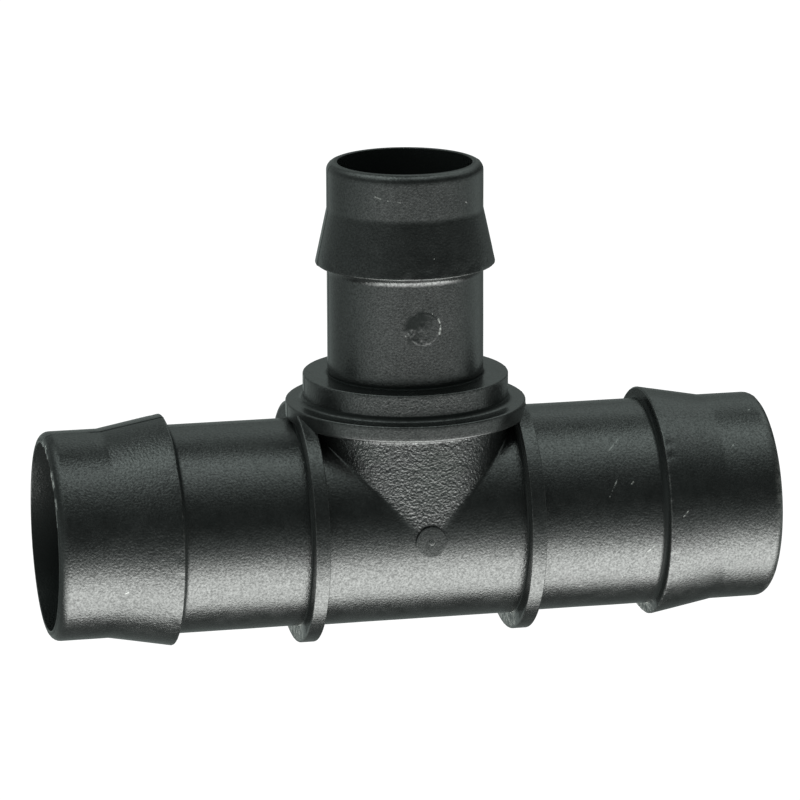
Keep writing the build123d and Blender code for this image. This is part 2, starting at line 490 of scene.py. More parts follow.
def flash_mask(spots):
    """Where the ragged skin of flash is left, with a painted highlight on it, on the near side of the left
    mouth's inner edge.
    """
    ragged = layered_noise(spots.place, *FLASH_NOISE)
    at_mouth = spots.along > run_mouth - FLASH_BAND
    near_bore = spots.radius < run_bore + FLASH_BAND * (1.0 + ragged)
    side = rise(spots.angle, FLASH_START, FLASH_START_FADE) * rise(spots.angle, FLASH_END, -FLASH_END_FADE)
    return at_mouth * near_bore * side * np.clip(FLASH_SHARE + FLASH_CONTRAST * ragged, 0.0, 1.0)


def left_barb_height(spots):
    """The left barb's chips and the flash that stands into its mouth."""
    inner = rise(spots.radius, run_bore + FLASH_ROOT, -EDGE)
    return chips(run_crest)(spots) - FLASH_HEIGHT * inner * flash_mask(spots)


def painted_face_light(faces, crest, spread=SHADE_REACH):
    """Painted shade on the upright faces of a collar or heel, and a painted highlight instead underneath.
    """
    def wear(spots):
        on_face = np.zeros(len(spots.along))
        for face in faces:
            on_face = np.maximum(on_face, np.abs(spots.along - face) < spread)
        on_face *= (spots.radius > run_radius - EDGE) & (spots.radius < crest - CREST_CLEAR)
        under = rise(-spots.angle, UNDER_ANGLE, UNDER_FADE)
        return on_face * (UNDER_HIGHLIGHT * under + PAINTED_SHADE * (1.0 - under))
    return wear


# Painted shade on the faces of the heel and collars, with a painted highlight underneath.
heel_painted_light = painted_face_light((run_heel,), run_crest, RUN_HEEL_ROOT + 2 * ROOT_LAND)
collar_painted_light = painted_face_light((collar_start, collar_end), collar_radius)


def spigot_painted_shade(spots):
    """Painted shade on the spigot, just behind the barb's heel."""
    return PAINTED_SHADE * rise(spots.along, spigot_end - SHADE_REACH, EDGE) * (spots.radius > run_skin)


def left_barb_wear(spots):
    """The left barb's painted shade and highlight on its heel, painted highlights on its flash and on top
    of its mouth's rim, and its dark parting line.
    """
    seam_end = run_cone_end + SEAM_OVERRUN
    on_seam = (spots.along > run_heel + EDGE) & (spots.along < seam_end) & (spots.radius > run_skin)
    seam = SEAM_GRIME * on_seam * np.exp(-((spots.place[:, 1] / SEAM_WIDTH) ** 2))
    on_top = np.abs(spots.angle - RIM_HIGHLIGHT_ANGLE) < RIM_HIGHLIGHT_SPREAD
    on_mouth = (spots.along > run_mouth - RIM_HIGHLIGHT_BAND) & on_top
    rim_highlight = on_mouth * np.clip(layered_noise(spots.place, *RIM_HIGHLIGHT_NOISE) - RIM_HIGHLIGHT_LEAST, 0.0, 1.0)
    return heel_painted_light(spots) + FLASH_HIGHLIGHT * flash_mask(spots) + seam + RIM_HIGHLIGHT * rim_highlight


def witness_place(spots):
    """Each spot's place across and up the branch's front, from the middle of its insert mark."""
    return (spots.angle - WITNESS_ANGLE) * branch_radius, spots.along - disc_top - WITNESS_RISE


def witness_height(spots):
    """The slightly proud mark of a mould insert on the branch's spigot, and rough skin beside it."""
    across, up = witness_place(spots)
    off = np.hypot(across, up)
    on_skin = spots.radius > branch_radius - EDGE
    proud = rise(off, WITNESS_RADIUS, -EDGE)
    near = rise(off, WITNESS_RADIUS + ROUGH_REACH, -ROUGH_FADE)
    near *= rise(across, WITNESS_RADIUS / 2, -WITNESS_RADIUS)
    rough = (near + WITNESS_SMOOTHING * proud) * layered_noise(spots.place, *ROUGH_NOISE)
    return on_skin * WITNESS_HEIGHT * (proud + WITNESS_ROUGHNESS * rough)


def branch_spigot_wear(spots):
    """Painted light round the insert mark: a painted highlight on its right edge and painted shade over
    its left side, past it to the upper left; and painted shade at the spigot's foot.
    """
    across, up = witness_place(spots)
    off = np.hypot(across, up)
    on_skin = spots.radius > branch_radius - EDGE
    edge = np.exp(-(((off - WITNESS_RADIUS - EDGE) / EDGE) ** 2))
    right = np.abs(np.arctan2(up, across) - HIGHLIGHT_ANGLE) < HIGHLIGHT_SPREAD
    left = rise(across - LEFT_SHADE_SLOPE * up, LEFT_SHADE_SIDE * WITNESS_RADIUS, -WITNESS_RADIUS)
    near = rise(off, WITNESS_RADIUS + LEFT_SHADE_REACH, -LEFT_SHADE_REACH)
    ragged = np.clip(LEFT_SHADE_SHARE + LEFT_SHADE_CONTRAST * layered_noise(spots.place, *LEFT_SHADE_NOISE), 0.0, 1.0)
    foot = PAINTED_SHADE * rise(spots.along, disc_end + 1.5 * SHADE_REACH, -SHADE_REACH)
    return on_skin * (WITNESS_HIGHLIGHT * edge * right + LEFT_SHADE * near * left * ragged + foot)


def disc_painted_shade(spots):
    """Painted shade where the branch's spigot stands on the disc."""
    by_spigot = (spots.radius > branch_skin) & (spots.radius < branch_radius + SHADE_REACH)
    return PAINTED_SHADE * (by_spigot & (spots.along > disc_top - EDGE))


def run_barb_grit(share):
    """Coarser grain on a run's barb."""
    def grit(spots):
        return share * (spots.radius > run_skin)
    return grit


def cone_grit(spots):
    """Coarser grain on the branch barb's cone."""
    on_cone = (spots.along > branch_heel) & (spots.along < branch_cone_end - EDGE)
    return CONE_GRIT * (on_cone & (spots.radius > branch_skin))


def disc_grit(spots):
    """Coarser grain round the reducer disc's side."""
    return DISC_GRIT * (spots.radius > disc_radius - EDGE / 2)


def pad_grit(spots):
    """Coarser grain on the gate pad's face."""
    return PAD_GRIT * (spots.along > run_radius)


# --- Sections of the pieces that are turned ---
def spigot_section(radius, bore, start, end):
    return [corner(start, bore), corner(start, radius), corner(end, radius), corner(end, bore)]


def barb_section(radius, bore, crest, crest_round, start, heel, heel_root, cone_end, mouth, mouth_round,
                 mouth_wear=0.0):
    """A barb with a square heel and a cone, and its plain nose."""
    peak = radius + (crest - radius) * (cone_end - heel) / (cone_end - heel - crest_round)
    return [
        corner(start, bore),
        corner(start, radius),
        corner(heel, radius, heel_root),
        corner(heel, peak, crest_round, worn_and_painted_light=0.25),
        corner(cone_end, radius),
        corner(mouth, radius, mouth_round, worn_and_painted_light=mouth_wear),
        corner(mouth, bore, BORE_EDGE, worn_and_painted_light=0.5),
    ]


def run_barb_section(mouth_wear):
    return barb_section(
        run_radius, run_bore, run_crest, RUN_CREST_ROUND, spigot_end, run_heel, RUN_HEEL_ROOT,
        run_cone_end, run_mouth, RUN_MOUTH_ROUND, mouth_wear,
    )


def branch_barb_section():
    return barb_section(
        branch_radius, branch_bore, branch_crest, BRANCH_CREST_ROUND, branch_spigot_end, branch_heel,
        BRANCH_HEEL_ROOT, branch_cone_end, branch_mouth, BRANCH_MOUTH_ROUND,
    )


def collar_section():
    return [
        corner(barrel_end, run_bore),
        corner(barrel_end, body_radius),
        corner(collar_start, body_radius, COLLAR_ROOT),
        corner(collar_start, collar_radius, COLLAR_ROUND, worn_and_painted_light=0.15),
        corner(collar_end, collar_radius, COLLAR_ROUND, worn_and_painted_light=0.15),
        corner(collar_end, run_radius, COLLAR_ROOT),
        corner(spigot_start, run_radius),
        corner(spigot_start, run_bore),
    ]


def flange_section():
    return [
        corner(flange_low, neck_bore),
        corner(flange_low, flange_radius, FLANGE_LOW_ROUND, worn_and_painted_light=0.05),
        corner(flange_high, flange_radius, FLANGE_TOP_ROUND, worn_and_painted_light=0.15),
        corner(flange_high, disc_radius, DISC_FOOT_ROOT),
        corner(disc_start, disc_radius),
        corner(disc_start, neck_bore),
    ]


def disc_section():
    shoulder = neck_bore - branch_bore
    return [
        corner(disc_start, neck_bore),
        corner(disc_start, disc_radius),
        corner(disc_top, disc_radius, DISC_ROUND, worn_and_painted_light=0.2),
        corner(disc_top, branch_radius, COLLAR_ROOT),
        corner(disc_end, branch_radius),
        corner(disc_end, branch_bore),
        corner(disc_top - ROOF, branch_bore),
        corner(disc_top - ROOF - shoulder / 2, neck_bore),
    ]


def pad_section():
    return [
        corner(run_bore + PAD_ROOT, AXIS_GAP),
        corner(run_bore + PAD_ROOT, pad_radius),
        corner(pad_top, pad_radius, PAD_ROUND),
        corner(pad_top, NIB_RADIUS),
        corner(pad_face, NIB_RADIUS, NIB_ROUND, worn_and_painted_light=0.8),
        corner(pad_face, AXIS_GAP),
    ]


# --- The hub: a surface net round a signed distance field ---
def soft_least(first, second, width):
    """The lesser of two fields, with their crease filled over a width."""
    share = np.clip(0.5 + 0.5 * (second - first) / width, 0.0, 1.0)
    return second + (first - second) * share - width * share * (1.0 - share)


def hub_field(points):
    """Signed distance to the hub: barrel and neck, less their bores."""
    x, y, z = points.T
    barrel = np.hypot(y, z) - body_radius
    upright = np.hypot(x, y)
    flare = np.clip((z - flange_low + NECK_ROOT) / NECK_ROOT, 0.0, MOST_FLARE)
    neck_radius = body_radius + NECK_ROOT * (1.0 - np.sqrt(1.0 - flare**2))
    neck = np.where(z >= 0, upright - neck_radius, np.hypot(np.maximum(upright - body_radius, 0), z))
    neck = np.where((z < 0) & (upright < body_radius), -z, neck)
    outside = soft_least(barrel, neck, 2 * CREASE * np.clip(z / CREASE_FADE, CREASE_LEAST, 1.0))
    bores = np.minimum(np.hypot(y, z) - run_bore, np.maximum(upright - neck_bore, -z))
    return np.maximum(outside, -bores)


def neckness(points):
    """From 0 on the barrel to 1 on the neck that rises from it."""
    sideways = np.abs(points[:, 0])
    above = rise(points[:, 2] - sideways, -NECK_LEAD, NECK_BLEND)
    return above * rise(sideways, LEATHER_REACH, -LEATHER_FADE)


def hub_surface(points):
    """The hub's field with its parting line, slow waves and the neck's leathery grain."""
    field = hub_field(points)
    near = np.abs(field) < NEAR_SKIN
    close = points[near]
    off_run = np.hypot(close[:, 1], close[:, 2]) > run_skin
    off_branch = (close[:, 2] < 0) | (np.hypot(close[:, 0], close[:, 1]) > neck_skin)
    leather = LEATHER_HEIGHT * layered_noise(close, *LEATHER_NOISE) * neckness(close)
    field[near] -= (skin_height(close) + leather) * (off_run & off_branch)
    return field


def hub_limited(points):
    """The hub's surface, closed a little past where its ends are cut flat."""
    past_barrel = np.abs(points[:, 0]) - barrel_end - HUB_OVERRUN
    past_neck = points[:, 2] - flange_low - HUB_OVERRUN
    return np.maximum(hub_surface(points), np.maximum(past_barrel, past_neck))


def edge_ends(axis, across):
    """The slices of a grid that hold the low and the high end of each of its edges along an axis."""
    first = [across] * 3
    second = [across] * 3
    first[axis] = slice(None, -1)
    second[axis] = slice(1, None)
    return tuple(first), tuple(second)


def surface_net(field, low, high, step):
    """Points and quads of a field's zero surface on an even grid."""
    counts = np.ceil((high - low) / step).astype(int) + 1
    ranges = [low[axis] + step * np.arange(counts[axis]) for axis in range(3)]
    grid = np.stack(np.meshgrid(*ranges, indexing="ij"), axis=-1)
    value = field(grid.reshape(-1, 3)).reshape(counts)
    cells = tuple(counts - 1)
    total = np.zeros(cells + (3,))
    crossings = np.zeros(cells)
    for axis in range(3):
        first, second = edge_ends(axis, slice(None))
        start, end = value[first], value[second]
        crossed = (start < 0) != (end < 0)
        share = np.where(crossed, start / np.where(crossed, start - end, 1.0), 0.0)
        where = grid[first].copy()
        where[..., axis] += share * step
        others = [other for other in range(3) if other != axis]
        for shift in np.ndindex(2, 2):
            part = [slice(None)] * 3
            for other, moved in zip(others, shift):
                part[other] = slice(1, None) if moved else slice(None, -1)
            part = tuple(part)
            total += where[part] * crossed[part][..., None]
            crossings += crossed[part]
    used = crossings > 0
    number = np.full(cells, -1)
    number[used] = np.arange(used.sum())
    points = total[used] / crossings[used][:, None]
    return points, net_faces(value, number)


def net_faces(value, number):
    """One quad of a surface net across each grid edge that the surface crosses."""
    faces = []
    for axis in range(3):
        first, second = edge_ends(axis, slice(1, -1))
        start, end = value[first], value[second]
        place = np.argwhere((start < 0) != (end < 0))
        if not len(place):
            continue
        inward = start[tuple(place.T)] < 0
        others = [other for other in range(3) if other != axis]
        ring = []
        for shift in ((0, 0), (1, 0), (1, 1), (0, 1)):
            cell = place.copy()
            cell[:, others[0]] += shift[0]
            cell[:, others[1]] += shift[1]
            ring.append(number[tuple(cell.T)])
        quads = np.stack(ring, axis=-1)
        quads[~inward] = quads[~inward][:, ::-1]
        faces.append(quads)
    return np.concatenate(faces)


def gradient(field, points, step):
    """The field's slope at each point."""
    slope = np.zeros_like(points)
    for axis in range(3):
        shift = np.zeros(3)
        shift[axis] = step
        slope[:, axis] = field(points + shift) - field(points - shift)
    return slope / (2 * step)


def settle(field, points, rounds=3):
    """Move the net's points onto the surface itself."""
    for _ in range(rounds):
        slope = gradient(field, points, SLOPE_STEP)
        size = np.maximum((slope**2).sum(axis=1), LEAST_SLOPE)
        move = field(points)[:, None] * slope / size[:, None]
        points = points - np.clip(move, -LARGEST_MOVE, LARGEST_MOVE)
    return points


def cut_flat(mesh, point, outward):
    """Cut a closed mesh at a plane, drop what is beyond it and close the cut."""
    with editing(mesh) as work:
        everything = work.verts[:] + work.edges[:] + work.faces[:]
        bmesh.ops.bisect_plane(work, geom=everything, dist=CUT_SLACK, plane_co=point, plane_no=outward,
                               clear_outer=True)
        rim = [edge for edge in work.edges if edge.is_boundary]
        bmesh.ops.triangle_fill(work, use_beauty=True, edges=rim)


def make_hub():
    """The crossed barrel and neck."""
    margin = np.array((0.5, 1.0, 1.0)) * MM
    low = np.array((-barrel_end, -body_radius, -body_radius)) - margin
    high = np.array((barrel_end, body_radius, flange_low)) + margin
    # a whole number of steps and a half puts the parting plane midway between rows of the grid
    low[1] = -math.ceil(-low[1] / NET_STEP) * NET_STEP - NET_STEP / 2
    points, faces = surface_net(hub_limited, low, high, NET_STEP)
    points = settle(hub_limited, points)
    mesh = mesh_of(skin_name("hub_body"), points, faces.tolist(), leathery=neckness(points))
    cut_flat(mesh, (barrel_end, 0, 0), (1, 0, 0))
    cut_flat(mesh, (-barrel_end, 0, 0), (-1, 0, 0))
    cut_flat(mesh, (0, 0, flange_low), (0, 0, 1))
    finish_piece("hub_body", mesh, "grained_plastic")


# --- Cutting one mesh by another ---
def face_outward(mesh):
    """Turn all of a closed mesh's faces outwards."""
    with editing(mesh) as work:
        bmesh.ops.recalc_face_normals(work, faces=work.faces)


def cut_by(mesh, cutter):
    """The mesh less the space inside a closed cutter."""
    face_outward(mesh)
    face_outward(cutter)
    body = new_object("uncut", mesh)
    tool = new_object("cutter", cutter)
    modifier = body.modifiers.new("cut", "BOOLEAN")
    modifier.operation = "DIFFERENCE"
    modifier.solver = "EXACT"
    modifier.object = tool
    graph = bpy.context.evaluated_depsgraph_get()
    result = bpy.data.meshes.new_from_object(body.evaluated_get(graph))
    bpy.data.objects.remove(body)
    bpy.data.objects.remove(tool)
    return result


# --- Node trees ---
class Nodes:
    """A short way to build one node tree."""

    def __init__(self, tree):
        self.tree = tree

    def add(self, kind, inputs=None, **settings):
        """A node with its settings, and its inputs set to values or to other nodes' outputs."""
        node = self.tree.nodes.new(kind)
        for key, value in settings.items():
            setattr(node, key, value)
        for key, value in (inputs or {}).items():
            self.feed(node, key, value)
        return node

    def feed(self, node, key, value):
        """Set one input, or link it."""
        if isinstance(value, bpy.types.NodeSocket):
            self.tree.links.new(value, node.inputs[key])
        else:
            node.inputs[key].default_value = value

    def place(self, kind="Object"):
        """A point's place in the object's own space, or for a world its direction."""
        return self.add("ShaderNodeTexCoord").outputs[kind]

    def mark(self, name):
        """A mesh attribute."""
        return self.add("ShaderNodeAttribute", attribute_name=name).outputs["Fac"]

    def noise(self, wavelength, detail, roughness):
        """Noise in the object's own space, about 0 to 1."""
        fineness = {"Scale": 1.0 / wavelength, "Detail": detail, "Roughness": roughness}
        return self.add("ShaderNodeTexNoise", {"Vector": self.place(), **fineness}).outputs["Fac"]

    def math(self, operation, *values, clamp=False):
        """One sum."""
        node = self.add("ShaderNodeMath", dict(enumerate(values)), operation=operation, use_clamp=clamp)
        return node.outputs[0]

    def difference(self, first, second):
        """One vector less another."""
        return self.add("ShaderNodeVectorMath", {0: first, 1: second}, operation="SUBTRACT").outputs[0]

    def dot(self, first, second):
        """The dot product of two vectors."""
        node = self.add("ShaderNodeVectorMath", {0: first, 1: second}, operation="DOT_PRODUCT")
        return node.outputs["Value"]

    def spread(self, value, low, high, out_low=0.0, out_high=1.0, **settings):
        """Map a value's range to another, held at the ends."""
        inputs = {"Value": value, "From Min": low, "From Max": high, "To Min": out_low, "To Max": out_high}
        return self.add("ShaderNodeMapRange", inputs, **settings).outputs["Result"]

    def blend(self, share, first, second):
        """A mix of two colours."""
        node = self.add("ShaderNodeMix", data_type="RGBA")
        self.feed(node, "Factor", share)
        self.feed(node, 6, first)
        self.feed(node, 7, second)
        return node.outputs[2]


# --- Materials ---
BASE_COLOUR = (0.0055, 0.006, 0.0059)
# The pale colour of plastic from use, and of the painted highlights.
WORN_AND_HIGHLIGHT_COLOUR = (0.3, 0.3, 0.29)
MOTTLE_TONES = (0.6, 1.5)       # of the base colour
# Soiling, and painted shade, make the base greyer and dull the shine.
SOIL_AND_SHADE_TONE = 2.2
HIGHLIGHT_TONE = 2.6                # of the pale colour, for the painted highlights, where plastic is at its palest
FULL_PALENESS = 1.8
RUB_AND_HIGHLIGHT_STRENGTH = 0.3
SPECK_STRENGTH = 0.5
ROUGHNESS = 0.24
MOTTLE_ROUGHNESS = 0.03
CLOUD_ROUGHNESS = 0.02
SOIL_AND_SHADE_DULLNESS = 0.95
PLASTIC_IOR = 1.5
SHINE = 0.5
GRAIN_CONTRAST = 0.2            # how much the grain adds to the shine or takes from it
GRAIN_FINENESS = (2.0, 0.55)    # detail and roughness of its noise
LEATHER_BUMP = 0.1 * MM
SPECK_SPACING = 1.3 * MM
SPECK_SHARE = 0.05
SPECK_SIZES = (0.06, 0.035)     # outer and inner, in spacings
SCRATCH_WIDTH = 0.2 * MM
SCRATCH_CORE = 0.3              # its full strength is within this share of its width
MIDDLE_RANGE = (0.3, 0.7)       # parts of a noise's range
BREAK_RANGE = (0.42, 0.62)
GRAIN_RANGE = (0.32, 0.68)

# Noise in materials: wavelength, detail and roughness
LEATHER_GRAIN = (0.28 * MM, 2.0, 0.5)
MOTTLE_NOISE = (1.6 * MM, 3.0, 0.6)
CLOUD_NOISE = (9.0 * MM, 2.0, 0.5)
BREAK_NOISE = (0.7 * MM, 3.0, 0.7)


def toned(colour, tone=1.0):
    """A colour made lighter or darker."""
    return (*[tone * level for level in colour], 1)


def strokes(place, marks):
    """Scratches on an arm, from their radius, mm along and degrees round at each end, and strength."""
    result = []
    for radius, first, start, last, end, strength in marks:
        where_first = place(first * MM, radius, math.radians(start))
        where_last = place(last * MM, radius, math.radians(end))
        result.append((where_first, where_last, strength))
    return result


def scratch_mask(nodes, start, end):
    """1 on a thin stroke from start to end, and 0 away from it."""
    stroke = Vector(end) - Vector(start)
    off = nodes.difference(nodes.place(), start)
    share = nodes.math("DIVIDE", nodes.dot(off, stroke), stroke.length_squared, clamp=True)
    foot = nodes.add("ShaderNodeVectorMath", {0: stroke, "Scale": share}, operation="SCALE").outputs[0]
    gap = nodes.difference(off, foot)
    length = nodes.add("ShaderNodeVectorMath", {0: gap}, operation="LENGTH").outputs["Value"]
    return nodes.spread(length, SCRATCH_WIDTH / 2, SCRATCH_CORE * SCRATCH_WIDTH)


def speck_mask(nodes):
    """Sparse fine specks of dust."""
    cells = nodes.add("ShaderNodeTexVoronoi", {"Vector": nodes.place(), "Scale": 1.0 / SPECK_SPACING})
    draw = nodes.add("ShaderNodeSeparateColor", {0: cells.outputs["Color"]}).outputs[0]
    chosen = nodes.math("GREATER_THAN", draw, 1.0 - SPECK_SHARE)
    return nodes.math("MULTIPLY", chosen, nodes.spread(cells.outputs["Distance"], *SPECK_SIZES))


def paleness(nodes, wear, scratches):
    """How pale the plastic is, from rubbing, dust, scratches and painted highlights, broken up by noise.
    """
    chance = nodes.spread(nodes.noise(*BREAK_NOISE), *BREAK_RANGE)
    rubbed_and_highlit = nodes.math("MULTIPLY", nodes.math("MAXIMUM", wear, 0.0), chance)
    specks = nodes.math("MULTIPLY", speck_mask(nodes), SPECK_STRENGTH)
    pale = nodes.math("MULTIPLY_ADD", rubbed_and_highlit, RUB_AND_HIGHLIGHT_STRENGTH, specks)
    for start, end, strength in scratches:
        scratch = nodes.math("MULTIPLY", scratch_mask(nodes, start, end), strength)
        pale = nodes.math("MULTIPLY_ADD", scratch, chance, pale)
    return pale


def plastic_colour(nodes, mottle, soil_and_shade, pale):
    """Mottled black plastic, greyer where it is soiled and under painted shade, and pale from rubbing,
    scratches and painted highlights.
    """
    darker, lighter = MOTTLE_TONES
    colour = nodes.blend(mottle, toned(BASE_COLOUR, darker), toned(BASE_COLOUR, lighter))
    colour = nodes.blend(soil_and_shade, colour, toned(BASE_COLOUR, SOIL_AND_SHADE_TONE))
    colour = nodes.blend(nodes.math("MINIMUM", pale, 1.0), colour, toned(WORN_AND_HIGHLIGHT_COLOUR))
    return nodes.blend(nodes.spread(pale, 1.0, FULL_PALENESS), colour, toned(WORN_AND_HIGHLIGHT_COLOUR, HIGHLIGHT_TONE))


def plastic_roughness(nodes, mottle):
    """Roughness that drifts a little over the surface."""
    cloud = nodes.noise(*CLOUD_NOISE)
    fine = nodes.spread(mottle, *MIDDLE_RANGE, ROUGHNESS - MOTTLE_ROUGHNESS, ROUGHNESS + MOTTLE_ROUGHNESS)
    slow = nodes.spread(cloud, *MIDDLE_RANGE, -CLOUD_ROUGHNESS, CLOUD_ROUGHNESS)
    return nodes.math("ADD", fine, slow)


def plastic_shine(nodes, grain, soil_and_shade):
    """Shine that twinkles with the grain and dies where the plastic is soiled and under painted shade."""
    shine = nodes.spread(grain, *GRAIN_RANGE, SHINE - GRAIN_CONTRAST, SHINE + GRAIN_CONTRAST)
    return nodes.math("MULTIPLY", shine, nodes.math("MULTIPLY_ADD", soil_and_shade, -SOIL_AND_SHADE_DULLNESS, 1.0))


def plastic_relief(nodes, grain, grain_height):
    """The spark-eroded grain over the coarser leathery one."""
    leather = nodes.noise(*LEATHER_GRAIN)
    coarse = {"Strength": nodes.mark("leathery"), "Distance": LEATHER_BUMP, "Height": leather}
    coarse = nodes.add("ShaderNodeBump", coarse).outputs["Normal"]
    fine = {"Strength": 1.0, "Distance": grain_height, "Height": grain, "Normal": coarse}
    return nodes.add("ShaderNodeBump", fine).outputs["Normal"]


def black_plastic(name, grain_length, grain_height, scratches):
    """Moulded black plastic with spark-eroded grain, faint mottling, dust, scratches, edges pale from use,
    painted shade and painted highlights.
    """
    material = bpy.data.materials.new(name)
    material.use_nodes = True
    nodes = Nodes(material.node_tree)
    mottle = nodes.noise(*MOTTLE_NOISE)
    grain = nodes.noise(grain_length, *GRAIN_FINENESS)
    wear = nodes.mark("wear")
    # Soiling on the left barb's parting line, and painted shade elsewhere, where the mark is below 0.
    soil_and_shade = nodes.math("MULTIPLY", wear, -1.0, clamp=True)
    pale = paleness(nodes, wear, scratches)
    for key, value in (
        ("Base Color", plastic_colour(nodes, mottle, soil_and_shade, pale)),
        ("Roughness", plastic_roughness(nodes, mottle)),
        ("Specular IOR Level", plastic_shine(nodes, grain, soil_and_shade)),
        ("Normal", plastic_relief(nodes, grain, grain_height)),
        ("IOR", PLASTIC_IOR),
    ):
        nodes.feed(nodes.tree.nodes["Principled BSDF"], key, value)
    return material


# --- Camera, light and stage ---
CAMERA_YAW = math.radians(12.467)
CAMERA_PITCH = math.radians(14.105)
CAMERA_ROLL = math.radians(-0.162)
CAMERA_DISTANCE = 0.6042
CAMERA_LENS = 222.9
CAMERA_SENSOR = 36.0
CAMERA_AIM = Vector((-0.67, 0.0, -0.18)) * MM     # from the middle of the CAD box


def make_camera():
    """The photograph's viewpoint: in front, a little left and above."""
    forward = Vector((
        math.sin(CAMERA_YAW) * math.cos(CAMERA_PITCH),
        math.cos(CAMERA_YAW) * math.cos(CAMERA_PITCH),
        -math.sin(CAMERA_PITCH),
    ))
    level = Vector((math.cos(CAMERA_YAW), -math.sin(CAMERA_YAW), 0.0))
    upright = level.cross(forward)
    right = math.cos(CAMERA_ROLL) * level + math.sin(CAMERA_ROLL) * upright
    up = math.cos(CAMERA_ROLL) * upright - math.sin(CAMERA_ROLL) * level
    data = bpy.data.cameras.new("camera")
    data.lens = CAMERA_LENS
    data.sensor_width = CAMERA_SENSOR
    camera = new_object("camera", data)
    aim = (cad_low + cad_high) / 2 + CAMERA_AIM
    turned = Matrix((right, up, -forward)).transposed().to_4x4()
    camera.matrix_world = Matrix.Translation(aim - CAMERA_DISTANCE * forward) @ turned
    bpy.context.scene.camera = camera


# Soft lamps far off. Azimuths go from the camera's side towards the right. A lamp fades out about
# its width to either side, and the sharper it is, the less it spreads up and down.
Lamp = namedtuple("Lamp", "azimuth width elevation sharpness strength")

LOW_LAMPS = (
    Lamp(azimuth=19, width=65, elevation=-73, sharpness=16, strength=8.5),
    Lamp(azimuth=18, width=76, elevation=-45, sharpness=22, strength=9.5),
)
ROOM_LAMPS = (
    Lamp(azimuth=26, width=120, elevation=-15, sharpness=38, strength=0.62),
    Lamp(azimuth=78, width=60, elevation=81, sharpness=10, strength=2.6),
    Lamp(azimuth=-76, width=70, elevation=83, sharpness=6, strength=2.3),
    Lamp(azimuth=-90, width=55, elevation=64, sharpness=14, strength=1.1),
    Lamp(azimuth=142, width=40, elevation=44, sharpness=18, strength=0.9),
    Lamp(azimuth=-104, width=84, elevation=-13, sharpness=5, strength=0.35),
)
LAMP_FADE = 25                  # degrees over which a lamp's sides fade, each way
ROOM_LEVEL = 0.05
BACKDROP_LEVEL = 1.08
LOW_TINT = (0.97, 1.0, 0.967)
ROOM_TINT = (0.87, 1.0, 0.955)
WHITE = (1, 1, 1, 1)
FLOOR_HALF = 1.5


def toward(azimuth):
    """A lamp's heading as seen from the object."""
    turned = CAMERA_YAW - math.radians(azimuth)
    return (-math.sin(turned), -math.cos(turned), 0.0)


def sky_directions(nodes):
    """Each direction's heading on the level, and its elevation as a vector of cosine and sine."""
    x, y, z = nodes.add("ShaderNodeSeparateXYZ", {0: nodes.place("Generated")}).outputs
    y_squared = nodes.math("MULTIPLY_ADD", y, y, 1e-9)
    level_part = nodes.math("SQRT", nodes.math("ADD", nodes.math("MULTIPLY", x, x), y_squared))
    heading = {0: nodes.math("DIVIDE", x, level_part), 1: nodes.math("DIVIDE", y, level_part)}
    heading = nodes.add("ShaderNodeCombineXYZ", heading).outputs[0]
    rising = nodes.add("ShaderNodeCombineXYZ", {0: level_part, 1: z}).outputs[0]
    return heading, rising


def lamp_light(nodes, heading, rising, lamp):
    """How much of a lamp's light each direction has."""
    raised = math.radians(lamp.elevation)
    near = nodes.dot(rising, (math.cos(raised), math.sin(raised), 0.0))
    fall = nodes.math("EXPONENT", nodes.math("MULTIPLY_ADD", near, lamp.sharpness, -lamp.sharpness))
    outer = math.cos(math.radians(lamp.width + LAMP_FADE))
    inner = math.cos(math.radians(lamp.width - LAMP_FADE))
    facing = nodes.dot(heading, toward(lamp.azimuth))
    side = nodes.spread(facing, outer, inner, interpolation_type="SMOOTHSTEP")
    return nodes.math("MULTIPLY", side, fall)


def glow(nodes, heading, rising, lamps, level, tint):
    """A background of some lamps' light over an even level."""
    for lamp in lamps:
        level = nodes.math("MULTIPLY_ADD", lamp_light(nodes, heading, rising, lamp), lamp.strength, level)
    return nodes.add("ShaderNodeBackground", {"Color": (*tint, 1), "Strength": level}).outputs[0]


def make_world():
    """A white surround for the camera, and soft lamps for the object to be lit by."""
    world = bpy.data.worlds.new("studio")
    world.use_nodes = True
    bpy.context.scene.world = world
    nodes = Nodes(world.node_tree)
    heading, rising = sky_directions(nodes)
    low = glow(nodes, heading, rising, LOW_LAMPS, 0.0, LOW_TINT)
    room = glow(nodes, heading, rising, ROOM_LAMPS, ROOM_LEVEL, ROOM_TINT)
    light = nodes.add("ShaderNodeAddShader", {0: low, 1: room}).outputs[0]
    white = nodes.add("ShaderNodeBackground", {"Color": WHITE, "Strength": BACKDROP_LEVEL}).outputs[0]
    to_camera = nodes.add("ShaderNodeLightPath").outputs["Is Camera Ray"]
    mix = nodes.add("ShaderNodeMixShader", {0: to_camera, 1: light, 2: white})
    nodes.feed(nodes.tree.nodes["World Output"], "Surface", mix.outputs[0])


def make_floor():
    """A plain white floor that the object stands on and that casts no light of its own."""
    low, high, z = -FLOOR_HALF, FLOOR_HALF, cad_low.z
    mesh = bpy.data.meshes.new("floor")
    mesh.from_pydata([(low, low, z), (high, low, z), (high, high, z), (low, high, z)], [], [(0, 1, 2, 3)])
    floor = new_object("floor", mesh)
    material = bpy.data.materials.new("floor_white")
    material.use_nodes = True
    nodes = Nodes(material.node_tree)
    light = nodes.add("ShaderNodeEmission", {"Color": WHITE, "Strength": BACKDROP_LEVEL})
    nodes.feed(nodes.tree.nodes["Material Output"], "Surface", light.outputs[0])
    mesh.materials.append(material)
    floor.visible_diffuse = False
    floor.visible_glossy = False
    floor.visible_transmission = False
    floor.visible_shadow = False


